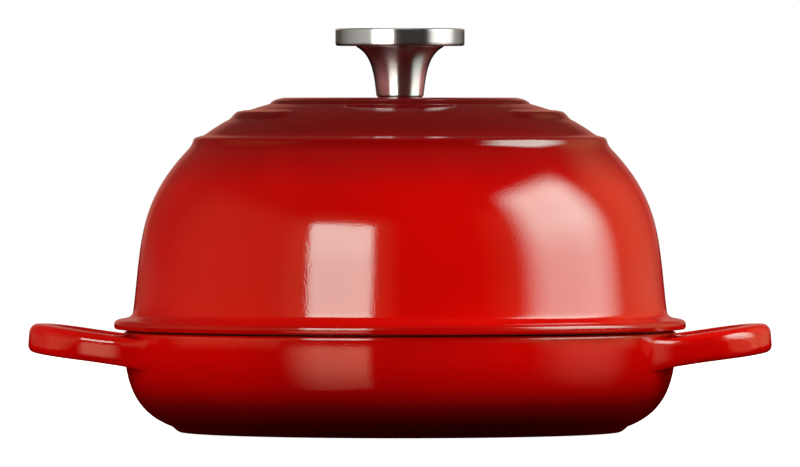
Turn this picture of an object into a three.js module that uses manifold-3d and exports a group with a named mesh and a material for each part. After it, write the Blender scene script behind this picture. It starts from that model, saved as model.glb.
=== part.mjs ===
// A bread cloche in enamelled cast iron: a shallow round pan with two loop handles, and a tall domed lid
// that rests on the pan's rim and carries a steel knob held by a screw from inside.
// Sizes are millimetres, +Z is up, and the origin is the centre of the foot on the surface it stands on.
import * as THREE from "three";
import { mergeVertices } from "three/addons/utils/BufferGeometryUtils.js";
import Module from "manifold-3d";

const manifold = await Module();
manifold.setup();

// Pan, heights from the surface it stands on
const PAN_HEIGHT = 43;
const PAN_RADIUS = 119.2;
const PAN_WALL = 4.6;
const PAN_FLOOR = 5.2;
const FOOT_INSET = 24;
const FOOT_HEIGHT = 2.4;
const FOOT_SLOPE = 3.2;
const BOWL_FLOOR_ANGLE = 20;
const BOWL_FLOOR_PULL = 15;
const BOWL_WALL_PULL = 21;
const RIM_BAND_HEIGHT = 3.6;
const RIM_BAND_INSET = 0.5;
const RIM_OUTER_ROUND = 1.2;
const RIM_INNER_BEVEL = 0.5;

// Raised rings on the pan's floor, which keep the loaf off the iron, as many as fit at their spacing
const RIDGE_SPACING = 24;
const RIDGE_HEIGHT = 1.6;
const RIDGE_WIDTH = 6;
const RIDGE_BEVEL = 1.4;

// Loop handles, cast in one with the pan, measured from its wall and its rim
const HANDLE_PROJECTION = 41.1;
const HANDLE_SPAN = 78;
const LOOP_DEPTH = 31;
const HANDLE_WIDTH = 12;
const HANDLE_THICKNESS = 12.4;
const HANDLE_CORNER = 4.6;
const HANDLE_TIP_DROP = 2.5;
const HANDLE_RISE_ANGLE = 8;
const ROOT_DEEPENING = 2;
const ROOT_RUNOUT_ANGLE = 4;

// Lid, heights from the rim that it rests on
const LID_WALL = 4.2;
const LID_TOP_WALL = 5.5;
const LIP_CLEARANCE = 0.9;
const LIP_THICKNESS = 2.6;
const LIP_DEPTH = 4;
const LIP_BEVEL = 0.7;
const SEAT_OVERLAP = 0.4;
const SEAM_GAP = 0.9;
const FLANGE_OVERHANG = 4.8;
const FLANGE_THICKNESS = 4.8;
const FLANGE_TOP_ROUND = 2.2;
const FLANGE_BOTTOM_ROUND = 1.1;
const FLANGE_FILLET = 3.4;

// Dome between the flange and the stepped ledge
const DOME_DRAFT_ANGLE = 6.9;
const DOME_WALL_PULL = 29.9;
const SHOULDER_INSET = 23;
const SHOULDER_HEIGHT = 78.2;
const SHOULDER_ANGLE = 47;
const SHOULDER_PULL = 30.7;
const STEP_INSET = 2.6;
const STEP_RISE = 3.8;
const LEDGE_WIDTH = 5.3;
const LEDGE_RISE = 3.3;
const LEDGE_ROUND = 2.5;

// Crown ring, its two raised bars, and the plateau that carries the knob
const CROWN_RISE = 13.2;
const CROWN_BULGE = 1.5;
const PLATEAU_RADIUS = 55.3;
const PLATEAU_RISE = 2.9;
const PLATEAU_CREASE = 1.7;
const PLATEAU_ROUND = 4.8;
const BAR_OFFSET = 7.5;
const BAR_WIDTH = 7.6;
const BAR_RISE = 1.1;
const BAR_ROOT = 0.8;
const BAR_BEVEL = 0.8;
const BAR_SPAN_ANGLE = 86;

// Knob, heights from the plateau
const STEM_HEIGHT = 22.3;
const STEM_FOOT_RADIUS = 10.2;
const STEM_FOOT_ROUND = 0.8;
const STEM_FLARE_RADIUS = 19;
const STEM_FLARE_ANGLE = 25.5;
const STEM_FLARE_PULL = 8;
const STEM_TAPER_ANGLE = 6.9;
const STEM_TAPER_PULL = 7.9;
const STEM_TOP_GAP = 0.35;
const STEM_WEB = 3;
const CAP_RADIUS = 27.6;
const CAP_THICKNESS = 7.6;
const CAP_LOWER_ROUND = 1.2;
const CAP_UPPER_BEVEL = 0.6;
const SPIGOT_RADIUS = 7.5;
const SPIGOT_LENGTH = 5.6;
const SPIGOT_GAP = 0.6;
const INSERT_RADIUS = 5.5;
const FIT_CLEARANCE = 0.15;

// Screw and washers under the lid's top
const SCREW_RADIUS = 2.9;
const SCREW_ENGAGEMENT = 9;
const SCREW_HOLE_CLEARANCE = 0.5;
const SCREW_HEAD_RADIUS = 5.8;
const SCREW_HEAD_HEIGHT = 3.4;
const SCREW_HEAD_ROUND = 1.6;
const RECESS_LENGTH = 6;
const RECESS_WIDTH = 1.2;
const RECESS_DEPTH = 1.8;
const WASHER_CLEARANCE = 0.3;
const FLAT_WASHER_RADIUS = 9;
const FLAT_WASHER_THICKNESS = 1.2;
const SPRING_WASHER_WIDTH = 2.2;
const SPRING_WASHER_THICKNESS = 1.6;
const SPRING_WASHER_SPLIT = 1.2;

// Facets
const CASTING_SIDES = 48;
const KNOB_SIDES = 36;
const SCREW_SIDES = 24;
const CURVE_STEPS = 8;
const CROWN_STEPS = 4;
const ROUND_STEPS = 2;
const LOOP_STEPS = 9;
const ROOT_STEPS = 6;
const BAR_STEPS = 8;

// Sizes that follow from the ones above
const FOOT_RADIUS = PAN_RADIUS - FOOT_INSET;
const CAVITY_RADIUS = PAN_RADIUS - PAN_WALL;
const RIM_RADIUS = PAN_RADIUS - RIM_BAND_INSET;
const LIP_RADIUS = CAVITY_RADIUS - LIP_CLEARANCE;
const LIP_BORE = LIP_RADIUS - LIP_THICKNESS;
const DOME_FOOT_RADIUS = LIP_BORE + LID_WALL;
const SHOULDER_RADIUS = DOME_FOOT_RADIUS - SHOULDER_INSET;
const LEDGE_HEIGHT = SHOULDER_HEIGHT + STEP_RISE + LEDGE_RISE;
const LID_HEIGHT = LEDGE_HEIGHT + CROWN_RISE + PLATEAU_RISE;
const FLANGE_RADIUS = RIM_RADIUS + FLANGE_OVERHANG;
const HANDLE_TIP = PAN_RADIUS + HANDLE_PROJECTION - HANDLE_WIDTH / 2;
const LOOP_CENTRE = PAN_RADIUS + HANDLE_PROJECTION - LOOP_DEPTH;
const INSERT_LENGTH = STEM_HEIGHT - SPIGOT_LENGTH - SPIGOT_GAP - STEM_WEB;
const SCREW_HOLE_RADIUS = SCREW_RADIUS + SCREW_HOLE_CLEARANCE;
const WASHER_BORE = SCREW_RADIUS + WASHER_CLEARANCE;

const enamel = new THREE.MeshStandardMaterial({ color: 0xb3150f, roughness: 0.12, metalness: 0 });
const polishedSteel = new THREE.MeshStandardMaterial({ color: 0xb9b9bb, roughness: 0.2, metalness: 1 });
const plainSteel = new THREE.MeshStandardMaterial({ color: 0x9b9da0, roughness: 0.4, metalness: 1 });

const radians = THREE.MathUtils.degToRad;
const point = (r, z) => new THREE.Vector2(r, z);

// Ends of the crown's arc: the inner edge of the ledge, and the crease below the plateau
const CROWN_FOOT = point(SHOULDER_RADIUS - STEP_INSET - LEDGE_WIDTH, LEDGE_HEIGHT);
const CROWN_TOP = point(PLATEAU_RADIUS + PLATEAU_CREASE, LEDGE_HEIGHT + CROWN_RISE);

// A point at a distance from another, in a direction given as degrees from the radial line.
function away(from, angle, distance) {
  return point(from.x + distance * Math.cos(radians(angle)), from.y + distance * Math.sin(radians(angle)));
}

function cubic(start, startPull, endPull, end, steps) {
  return new THREE.CubicBezierCurve(start, startPull, endPull, end).getPoints(steps);
}

// A rounded corner between two points, bent towards the corner where their edges would meet.
function rounded(start, corner, end) {
  return new THREE.QuadraticBezierCurve(start, corner, end).getPoints(ROUND_STEPS);
}

// The circle through two points whose arc stands off their chord by the bulge, on its right.
function circleOver(start, end, bulge) {
  const chord = end.clone().sub(start);
  const right = point(chord.y, -chord.x).normalize();
  const radius = (chord.length() ** 2 / 4 + bulge ** 2) / (2 * bulge);
  const centre = start.clone().add(end).multiplyScalar(0.5).addScaledVector(right, bulge - radius);
  return { centre, radius };
}

// The same curve moved sideways: positive distances lie on its left.
function offset(points, distance) {
  return points.map((here, index) => {
    const before = points[Math.max(index - 1, 0)];
    const after = points[Math.min(index + 1, points.length - 1)];
    const along = after.clone().sub(before).normalize();
    return point(here.x - distance * along.y, here.y + distance * along.x);
  });
}

// A solid of revolution about Z. The profile runs counter-clockwise in radius and height.
function turned(profile, sides) {
  return new THREE.LatheGeometry(profile, sides).rotateX(Math.PI / 2);
}

// A turned ring: the profile is closed on itself.
function turnedRing(profile, sides) {
  return turned([...profile, profile[0]], sides);
}

function toSolid(geometry) {
  const bare = new THREE.BufferGeometry();
  bare.setAttribute("position", geometry.getAttribute("position"));
  bare.setIndex(geometry.getIndex());
  const merged = mergeVertices(bare, 1e-4);
  const corners = merged.getIndex().array;
  const triangles = [];
  for (let first = 0; first < corners.length; first += 3) {
    const [a, b, c] = corners.slice(first, first + 3);
    if (a !== b && b !== c && c !== a) triangles.push(a, b, c);
  }
  const vertProperties = merged.getAttribute("position").array;
  return new manifold.Manifold(
    new manifold.Mesh({ numProp: 3, vertProperties, triVerts: new Uint32Array(triangles) }),
  );
}

function toGeometry(solid) {
  const { vertProperties, triVerts } = solid.getMesh();
  const geometry = new THREE.BufferGeometry();
  geometry.setAttribute("position", new THREE.BufferAttribute(vertProperties, 3));
  geometry.setIndex(new THREE.BufferAttribute(triVerts, 1));
  geometry.computeVertexNormals();
  return geometry;
}

function piece(name, geometry, material) {
  const mesh = new THREE.Mesh(geometry, material);
  mesh.name = name;
  return mesh;
}

// Outside of the pan, from the axis under the foot to the axis at rim height.
function panOutside() {
  const footTop = point(FOOT_RADIUS + FOOT_SLOPE, FOOT_HEIGHT);
  const wallTop = point(PAN_RADIUS, PAN_HEIGHT - RIM_BAND_HEIGHT);
  return [
    point(0, 0),
    point(FOOT_RADIUS, 0),
    ...cubic(
      footTop,
      away(footTop, BOWL_FLOOR_ANGLE, BOWL_FLOOR_PULL),
      away(wallTop, -90, BOWL_WALL_PULL),
      wallTop,
      CURVE_STEPS,
    ),
    point(RIM_RADIUS, wallTop.y + RIM_BAND_INSET),
    ...rounded(
      point(RIM_RADIUS, PAN_HEIGHT - RIM_OUTER_ROUND),
      point(RIM_RADIUS, PAN_HEIGHT),
      point(RIM_RADIUS - RIM_OUTER_ROUND, PAN_HEIGHT),
    ),
    point(0, PAN_HEIGHT),
  ];
}

// The hollow of the pan: the floor with its raised rings, the inside of the wall, and on past the rim.
function panHollow() {
  const floorEdge = point(FOOT_RADIUS, PAN_FLOOR);
  const wallTop = point(CAVITY_RADIUS, PAN_HEIGHT - RIM_BAND_HEIGHT);
  const ridges = [];
  for (let radius = RIDGE_SPACING; radius + RIDGE_WIDTH < FOOT_RADIUS; radius += RIDGE_SPACING) {
    ridges.push(
      point(radius - RIDGE_WIDTH / 2, PAN_FLOOR),
      point(radius - RIDGE_WIDTH / 2 + RIDGE_BEVEL, PAN_FLOOR + RIDGE_HEIGHT),
      point(radius + RIDGE_WIDTH / 2 - RIDGE_BEVEL, PAN_FLOOR + RIDGE_HEIGHT),
      point(radius + RIDGE_WIDTH / 2, PAN_FLOOR),
    );
  }
  const opening = CAVITY_RADIUS + RIM_INNER_BEVEL;
  return [
    point(0, PAN_FLOOR),
    ...ridges,
    ...cubic(
      floorEdge,
      away(floorEdge, BOWL_FLOOR_ANGLE, BOWL_FLOOR_PULL),
      away(wallTop, -90, BOWL_WALL_PULL),
      wallTop,
      CURVE_STEPS,
    ),
    point(CAVITY_RADIUS, PAN_HEIGHT - RIM_INNER_BEVEL),
    point(opening, PAN_HEIGHT),
    point(opening, PAN_HEIGHT + PAN_WALL),
    point(0, PAN_HEIGHT + PAN_WALL),
  ];
}

// A rounded rectangle round the origin, counter-clockwise from its right side.
function barSection(width, height) {
  const corner = Math.min(HANDLE_CORNER, width / 2, height / 2);
  const right = width / 2 - corner;
  const top = height / 2 - corner;
  const centres = [point(right, top), point(-right, top), point(-right, -top), point(right, -top)];
  return centres.flatMap((centre, quarter) =>
    [0, 30, 60, 90].map((angle) => away(centre, 90 * quarter + angle, corner)),
  );
}

// Middle line of one loop in plan, from its tip to the pan: a quarter of an ellipse, then a root that
// curves outwards until its outer face lies along the pan's wall, and last runs out inside the wall.
function handleRoute() {
  const half = HANDLE_SPAN / 2;
  const fillet = (LOOP_CENTRE ** 2 + half ** 2 - PAN_RADIUS ** 2) / (2 * (PAN_RADIUS - half));
  const inset = HANDLE_WIDTH / 2;
  const wallAngle = Math.atan2(half + fillet, LOOP_CENTRE);
  const loop = new THREE.EllipseCurve(
    LOOP_CENTRE,
    0,
    LOOP_DEPTH - inset,
    half - inset,
    0,
    -Math.PI / 2,
    true,
  ).getPoints(LOOP_STEPS);
  const root = new THREE.ArcCurve(
    LOOP_CENTRE,
    -half - fillet,
    fillet + inset,
    Math.PI / 2,
    Math.PI - wallAngle,
    false,
  ).getPoints(ROOT_STEPS);
  const runOut = away(
    point(0, 0),
    -THREE.MathUtils.radToDeg(wallAngle) - ROOT_RUNOUT_ANGLE,
    PAN_RADIUS - inset - PAN_WALL,
  );
  const stations = [
    ...loop.slice(0, -1).map((here) => ({ here, deepening: 0 })),
    ...root.map((here, step) => ({ here, deepening: ROOT_DEEPENING * (step / ROOT_STEPS) ** 2 })),
    { here: runOut, deepening: ROOT_DEEPENING },
  ];
  const mirrored = stations.slice(1).map(({ here, deepening }) => ({
    here: point(here.x, -here.y),
    deepening,
  }));
  return [...stations.reverse(), ...mirrored];
}

// One loop handle: a rounded bar carried along the route, in a plane that rises outwards, deeper at the pan.
function loopHandle() {
  const route = handleRoute();
  const rise = radians(HANDLE_RISE_ANGLE);
  const rings = route.map(({ here, deepening }, index) => {
    const before = route[Math.max(index - 1, 0)].here;
    const after = route[Math.min(index + 1, route.length - 1)].here;
    const along = after.clone().sub(before).normalize();
    const height = PAN_HEIGHT - HANDLE_TIP_DROP - (HANDLE_TIP - here.x) * Math.tan(rise) - deepening / 2;
    return barSection(HANDLE_WIDTH, HANDLE_THICKNESS + deepening).map((edge) => [
      here.x + edge.x * along.y - edge.y * Math.sin(rise),
      here.y - edge.x * along.x,
      height + edge.y * Math.cos(rise),
    ]);
  });
  const around = rings[0].length;
  const last = (rings.length - 1) * around;
  const corners = [];
  for (let ring = 0; ring < rings.length - 1; ring += 1) {
    for (let edge = 0; edge < around; edge += 1) {
      const a = ring * around + edge;
      const b = ring * around + ((edge + 1) % around);
      corners.push(a, b + around, b, a, a + around, b + around);
    }
  }
  for (let edge = 1; edge < around - 1; edge += 1) {
    corners.push(0, edge, edge + 1, last, last + edge + 1, last + edge);
  }
  const geometry = new THREE.BufferGeometry();
  geometry.setAttribute("position", new THREE.Float32BufferAttribute(rings.flat(2), 3));
  geometry.setIndex(corners);
  return geometry;
}

function basePan() {
  const handle = loopHandle();
  const casting = toSolid(turned(panOutside(), CASTING_SIDES))
    .add(toSolid(handle))
    .add(toSolid(handle.clone().rotateZ(Math.PI)));
  const hollow = toSolid(turned(panHollow(), CASTING_SIDES));
  return piece("base_pan", toGeometry(casting.subtract(hollow)), enamel);
}

// Curves that the lid's outside and inside share.
function domeCurve() {
  const foot = point(DOME_FOOT_RADIUS, SEAM_GAP + FLANGE_THICKNESS + FLANGE_FILLET);
  const shoulder = point(SHOULDER_RADIUS, SHOULDER_HEIGHT);
  return cubic(
    foot,
    away(foot, 90 + DOME_DRAFT_ANGLE, DOME_WALL_PULL),
    away(shoulder, -SHOULDER_ANGLE, SHOULDER_PULL),
    shoulder,
    CURVE_STEPS,
  );
}

function crownCurve() {
  const { centre, radius } = circleOver(CROWN_FOOT, CROWN_TOP, CROWN_BULGE);
  const from = CROWN_FOOT.clone().sub(centre).angle();
  const to = CROWN_TOP.clone().sub(centre).angle();
  return new THREE.ArcCurve(centre.x, centre.y, radius, from, to, false).getPoints(CROWN_STEPS);
}

function crownHeight(radialDistance) {
  const { centre, radius } = circleOver(CROWN_FOOT, CROWN_TOP, CROWN_BULGE);
  return centre.y + Math.sqrt(radius ** 2 - (radialDistance - centre.x) ** 2);
}

function lidProfile() {
  const flangeTop = SEAM_GAP + FLANGE_THICKNESS;
  const seatRadius = RIM_RADIUS - RIM_OUTER_ROUND + SEAT_OVERLAP;
  const stepRadius = SHOULDER_RADIUS - STEP_INSET;
  const stepTop = SHOULDER_HEIGHT + STEP_RISE;
  const dome = domeCurve();
  const crown = crownCurve();
  const underside = LID_HEIGHT - LID_TOP_WALL;
  const innerCrown = offset(crown, LID_WALL);
  const innerDome = offset(dome, LID_WALL);
  return [
    point(LIP_BORE + LIP_BEVEL, -LIP_DEPTH),
    point(LIP_RADIUS - LIP_BEVEL, -LIP_DEPTH),
    point(LIP_RADIUS, LIP_BEVEL - LIP_DEPTH),
    point(LIP_RADIUS, 0),
    point(seatRadius, 0),
    point(seatRadius, SEAM_GAP),
    ...rounded(
      point(FLANGE_RADIUS - FLANGE_BOTTOM_ROUND, SEAM_GAP),
      point(FLANGE_RADIUS, SEAM_GAP),
      point(FLANGE_RADIUS, SEAM_GAP + FLANGE_BOTTOM_ROUND),
    ),
    ...rounded(
      point(FLANGE_RADIUS, flangeTop - FLANGE_TOP_ROUND),
      point(FLANGE_RADIUS, flangeTop),
      point(FLANGE_RADIUS - FLANGE_TOP_ROUND, flangeTop),
    ),
    ...rounded(
      point(DOME_FOOT_RADIUS + FLANGE_FILLET, flangeTop),
      point(DOME_FOOT_RADIUS, flangeTop),
      dome[0],
    ),
    ...dome.slice(1),
    ...rounded(
      point(stepRadius, stepTop),
      point(stepRadius, stepTop + LEDGE_ROUND),
      point(stepRadius - LEDGE_ROUND, stepTop + LEDGE_ROUND),
    ),
    ...crown,
    ...rounded(
      point(PLATEAU_RADIUS, LID_HEIGHT - PLATEAU_RISE),
      point(PLATEAU_RADIUS, LID_HEIGHT),
      point(PLATEAU_RADIUS - PLATEAU_ROUND, LID_HEIGHT),
    ),
    point(SCREW_HOLE_RADIUS, LID_HEIGHT),
    point(SCREW_HOLE_RADIUS, underside),
    point(PLATEAU_RADIUS - PLATEAU_ROUND, underside),
    ...innerCrown.reverse(),
    ...innerDome.reverse(),
  ];
}

// A raised bar along the crown: a flat-topped arc with round ends, rooted in the wall.
function crownBar() {
  const inner = CROWN_TOP.x + BAR_OFFSET;
  const middle = inner + BAR_WIDTH / 2;
  const outer = inner + BAR_WIDTH;
  const half = radians(BAR_SPAN_ANGLE / 2);
  const endRadius = BAR_WIDTH / 2 - BAR_BEVEL;
  const endX = middle * Math.cos(half);
  const endY = middle * Math.sin(half);
  const outline = new THREE.Shape();
  outline.absarc(0, 0, outer - BAR_BEVEL, -half, half, false);
  outline.absarc(endX, endY, endRadius, half, half + Math.PI, false);
  outline.absarc(0, 0, inner + BAR_BEVEL, half, -half, true);
  outline.absarc(endX, -endY, endRadius, Math.PI - half, 2 * Math.PI - half, false);
  const root = crownHeight(outer) - BAR_ROOT;
  const geometry = new THREE.ExtrudeGeometry(outline, {
    depth: crownHeight(middle) + BAR_RISE - root - 2 * BAR_BEVEL,
    curveSegments: BAR_STEPS,
    bevelSegments: 1,
    bevelSize: BAR_BEVEL,
    bevelThickness: BAR_BEVEL,
  });
  return geometry.translate(0, 0, root + BAR_BEVEL);
}

function lidDome() {
  const bar = crownBar();
  const casting = toSolid(turnedRing(lidProfile(), CASTING_SIDES))
    .add(toSolid(bar))
    .add(toSolid(bar.clone().rotateZ(Math.PI)));
  return piece("lid_dome", toGeometry(casting), enamel);
}

// Knob stem: a trumpet with a bore for the insert below and a socket for the cap's spigot above.
function knobStem() {
  const insertBore = INSERT_RADIUS + FIT_CLEARANCE;
  const socket = SPIGOT_RADIUS + FIT_CLEARANCE;
  const foot = point(STEM_FOOT_RADIUS, STEM_FOOT_ROUND);
  const flare = point(STEM_FLARE_RADIUS, STEM_HEIGHT - STEM_TOP_GAP);
  const profile = [
    point(insertBore, 0),
    point(STEM_FOOT_RADIUS - STEM_FOOT_ROUND, 0),
    ...cubic(
      foot,
      away(foot, 90 - STEM_TAPER_ANGLE, STEM_TAPER_PULL),
      away(flare, 180 + STEM_FLARE_ANGLE, STEM_FLARE_PULL),
      flare,
      CURVE_STEPS,
    ),
    point(STEM_FLARE_RADIUS - STEM_TOP_GAP, STEM_HEIGHT),
    point(socket, STEM_HEIGHT),
    point(socket, INSERT_LENGTH + STEM_WEB),
    point(SCREW_HOLE_RADIUS, INSERT_LENGTH + STEM_WEB),
    point(SCREW_HOLE_RADIUS, INSERT_LENGTH),
    point(insertBore, INSERT_LENGTH),
  ];
  return piece("knob_stem", turnedRing(profile, KNOB_SIDES), polishedSteel);
}

function knobCap() {
  const top = STEM_HEIGHT + CAP_THICKNESS;
  const profile = [
    point(0, STEM_HEIGHT - SPIGOT_LENGTH),
    point(SPIGOT_RADIUS, STEM_HEIGHT - SPIGOT_LENGTH),
    point(SPIGOT_RADIUS, STEM_HEIGHT),
    ...rounded(
      point(CAP_RADIUS - CAP_LOWER_ROUND, STEM_HEIGHT),
      point(CAP_RADIUS, STEM_HEIGHT),
      point(CAP_RADIUS, STEM_HEIGHT + CAP_LOWER_ROUND),
    ),
    point(CAP_RADIUS, top - CAP_UPPER_BEVEL),
    point(CAP_RADIUS - CAP_UPPER_BEVEL, top),
    point(0, top),
  ];
  return piece("knob_cap", turned(profile, KNOB_SIDES), polishedSteel);
}

// Plain sleeve: its thread and the screw's are left out.
function knobInsert() {
  const bore = SCREW_RADIUS + FIT_CLEARANCE;
  const profile = [
    point(bore, 0),
    point(INSERT_RADIUS, 0),
    point(INSERT_RADIUS, INSERT_LENGTH),
    point(bore, INSERT_LENGTH),
  ];
  return piece("knob_insert", turnedRing(profile, SCREW_SIDES), plainSteel);
}

function flatWasher() {
  const top = -LID_TOP_WALL;
  const profile = [
    point(WASHER_BORE, top - FLAT_WASHER_THICKNESS),
    point(FLAT_WASHER_RADIUS, top - FLAT_WASHER_THICKNESS),
    point(FLAT_WASHER_RADIUS, top),
    point(WASHER_BORE, top),
  ];
  return piece("flat_washer", turnedRing(profile, SCREW_SIDES), plainSteel);
}

// A ring with a narrow split, drawn flat as it lies when the screw is tight.
function springWasher() {
  const outer = WASHER_BORE + SPRING_WASHER_WIDTH;
  const outline = new THREE.Shape();
  const split = SPRING_WASHER_SPLIT / (WASHER_BORE + outer);
  outline.absarc(0, 0, outer, split, 2 * Math.PI - split, false);
  outline.absarc(0, 0, WASHER_BORE, 2 * Math.PI - split, split, true);
  const geometry = new THREE.ExtrudeGeometry(outline, {
    depth: SPRING_WASHER_THICKNESS,
    curveSegments: SCREW_SIDES,
    bevelEnabled: false,
  });
  geometry.translate(0, 0, -LID_TOP_WALL - FLAT_WASHER_THICKNESS - SPRING_WASHER_THICKNESS);
  return piece("spring_washer", geometry, plainSteel);
}

// Pan-head screw with a cross recess, up through the washers and the lid into the insert.
function knobScrew() {
  const seat = -LID_TOP_WALL - FLAT_WASHER_THICKNESS - SPRING_WASHER_THICKNESS;
  const bottom = seat - SCREW_HEAD_HEIGHT;
  const profile = [
    point(0, bottom),
    ...rounded(
      point(SCREW_HEAD_RADIUS - SCREW_HEAD_ROUND, bottom),
      point(SCREW_HEAD_RADIUS, bottom),
      point(SCREW_HEAD_RADIUS, bottom + SCREW_HEAD_ROUND),
    ),
    point(SCREW_HEAD_RADIUS, seat),
    point(SCREW_RADIUS, seat),
    point(SCREW_RADIUS, SCREW_ENGAGEMENT),
    point(0, SCREW_ENGAGEMENT),
  ];
  const slot = new THREE.BoxGeometry(RECESS_LENGTH, RECESS_WIDTH, 2 * RECESS_DEPTH).translate(0, 0, bottom);
  const screw = toSolid(turned(profile, SCREW_SIDES))
    .subtract(toSolid(slot))
    .subtract(toSolid(slot.clone().rotateZ(Math.PI / 2)));
  return piece("knob_screw", toGeometry(screw), plainSteel);
}

const knob = new THREE.Group();
knob.position.z = LID_HEIGHT;
knob.add(knobStem(), knobCap(), knobInsert(), flatWasher(), springWasher(), knobScrew());

const lid = new THREE.Group();
lid.position.z = PAN_HEIGHT;
lid.add(lidDome(), knob);

const cloche = new THREE.Group();
cloche.name = "bread_cloche";
cloche.add(basePan(), lid);

export default cloche;
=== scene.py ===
# %% [markdown]
# # A bread cloche in enamelled cast iron
# The object is two castings, a shallow pan and a tall domed lid, with a steel knob screwed to the lid.
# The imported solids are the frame: they say where every piece is. Here each one gets a finer surface and
# its real finish. All sizes below are millimetres, and a mesh is scaled to metres only when it is made.

# %% Load the frame
import bpy
import numpy as np
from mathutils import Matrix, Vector


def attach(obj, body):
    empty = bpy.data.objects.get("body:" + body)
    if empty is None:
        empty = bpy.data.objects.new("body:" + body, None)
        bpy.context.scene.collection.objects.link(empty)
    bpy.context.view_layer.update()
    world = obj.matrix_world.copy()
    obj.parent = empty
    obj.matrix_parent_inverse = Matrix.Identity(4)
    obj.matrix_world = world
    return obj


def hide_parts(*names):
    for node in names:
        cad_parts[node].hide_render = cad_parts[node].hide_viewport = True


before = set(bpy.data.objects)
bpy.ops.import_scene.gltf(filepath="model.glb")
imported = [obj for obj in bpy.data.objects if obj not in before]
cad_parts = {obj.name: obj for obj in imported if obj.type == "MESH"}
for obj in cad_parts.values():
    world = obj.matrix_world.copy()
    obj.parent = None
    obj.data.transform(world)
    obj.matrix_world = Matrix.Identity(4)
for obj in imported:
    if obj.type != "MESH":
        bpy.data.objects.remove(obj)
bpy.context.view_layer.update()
MM = 0.001

# %% [markdown]
# ## The camera
# The picture was taken from far away with a long lens, a little above the rim: the rim's front and back
# edges almost fall on one line. A camera 5 m away at 150 mm height, aimed at the middle of the object,
# shows the same thin ellipses. The focal length follows from one pixel being 0.432 mm at the object.

# %% Camera
IMAGE_WIDTH = 800
SENSOR_WIDTH = 36.0
CAMERA_DISTANCE = 5000.0
CAMERA_HEIGHT = 150.0
AIM_HEIGHT = 85.7
PIXEL_SIZE = 0.432

camera_data = bpy.data.cameras.new("camera")
camera_data.sensor_width = SENSOR_WIDTH
camera_data.lens = CAMERA_DISTANCE / PIXEL_SIZE * SENSOR_WIDTH / IMAGE_WIDTH
camera_data.clip_end = 100
camera = bpy.data.objects.new("camera", camera_data)
camera.location = Vector((0, -CAMERA_DISTANCE, CAMERA_HEIGHT)) * MM
aim = Vector((0, 0, AIM_HEIGHT)) * MM - camera.location
camera.rotation_euler = aim.to_track_quat("-Z", "Y").to_euler()
bpy.context.scene.collection.objects.link(camera)
bpy.context.scene.camera = camera
print("lens", round(camera_data.lens, 1), "mm")

# %% [markdown]
# ## From a profile to a surface
# Nearly everything here was turned or has a round pattern, so a piece is a profile carried round the axis.
# Three small tools prepare a profile. One draws a smooth curve between two points. One walks along the
# profile and averages it under a bell curve, because glaze and polishing leave no corner quite sharp. The
# last keeps only as many rows as are needed, crowded together where the profile bends.

# %% Profile tools
def row(*points):
    """The points as an array of (radius, height) rows."""
    return np.array(points, float)


def away(start, degrees, distance):
    """The point at a distance from another, in a direction measured from the radial line."""
    turn = np.radians(degrees)
    return np.asarray(start, float) + distance * np.array([np.cos(turn), np.sin(turn)])


def bezier(start, pull, push, end, steps=48):
    """Cubic curve: (1-t)^3 start + 3(1-t)^2 t pull + 3(1-t)t^2 push + t^3 end, for t from 0 to 1."""
    t = np.linspace(0, 1, steps)[:, None]
    return (
        (1 - t) ** 3 * np.asarray(start)
        + 3 * (1 - t) ** 2 * t * np.asarray(pull)
        + 3 * (1 - t) * t**2 * np.asarray(push)
        + t**3 * np.asarray(end)
    )


def corner(start, peak, end, steps=10):
    """A rounded corner: the cubic whose two handles reach two thirds of the way to the peak."""
    start, peak, end = (np.asarray(p, float) for p in (start, peak, end))
    return bezier(start, start + (peak - start) * 2 / 3, end + (peak - end) * 2 / 3, end, steps)


def walk(line):
    """The distance walked along a line at each of its points."""
    return np.r_[0, np.cumsum(np.hypot(*np.diff(line, axis=0).T))]


def soften(line, radius, closed=False, spacing=0.1):
    """Equal steps along the line, each averaged with its neighbours under a bell curve of that radius.
    The ends of an open line stay where they are, because it is continued as its own half-turn image."""
    line = np.vstack([line, line[:1]]) if closed else line
    walked = walk(line)
    at = np.linspace(0, walked[-1], int(walked[-1] / spacing), endpoint=not closed)
    even = np.stack([np.interp(at, walked, line[:, k]) for k in (0, 1)], -1)
    reach = int(4 * radius / spacing)
    bell = np.exp(-0.5 * (np.arange(-reach, reach + 1) * spacing / radius) ** 2)
    how = {"mode": "wrap"} if closed else {"mode": "reflect", "reflect_type": "odd"}
    padded = np.pad(even, ((reach, reach), (0, 0)), **how)
    return np.stack([np.convolve(padded[:, k], bell / bell.sum(), "valid") for k in (0, 1)], -1)


def crowd(line, rows, bend, extra=None):
    """That many points of the line, spaced evenly in length + bend * turning angle, so that they crowd
    where it turns. Extra is a factor for each point that crowds them further."""
    step = np.diff(line, axis=0)
    heading = np.unwrap(np.arctan2(step[:, 1], step[:, 0]))
    turning = np.abs(np.gradient(heading))
    cost = np.hypot(*step.T) * (1 if extra is None else 1 + extra[:-1]) + bend * turning
    spent = np.r_[0, np.cumsum(cost)]
    at = np.linspace(0, spent[-1], rows)
    return np.stack([np.interp(at, spent, line[:, k]) for k in (0, 1)], -1)


print("profile tools ready")

# %% [markdown]
# ## From a surface to a mesh
# A turned surface is a grid: one row of points for each profile point, one column for each step round the
# axis. The columns close on themselves. A profile that starts or ends on the axis gets one pole point and
# a fan of triangles there, and a ring-shaped profile joins its last row to its first, so that every piece
# is watertight.

# %% Mesh tools
def turned(profile, sides):
    """The profile carried round Z: x = r cos a, y = r sin a, z = height, for equal steps of the angle a."""
    angle = np.linspace(0, 2 * np.pi, sides, endpoint=False)
    radius, height = profile[:, :1], profile[:, 1:]
    return np.stack(
        [radius * np.cos(angle), radius * np.sin(angle), np.broadcast_to(height, (len(profile), sides))], -1
    )


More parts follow.
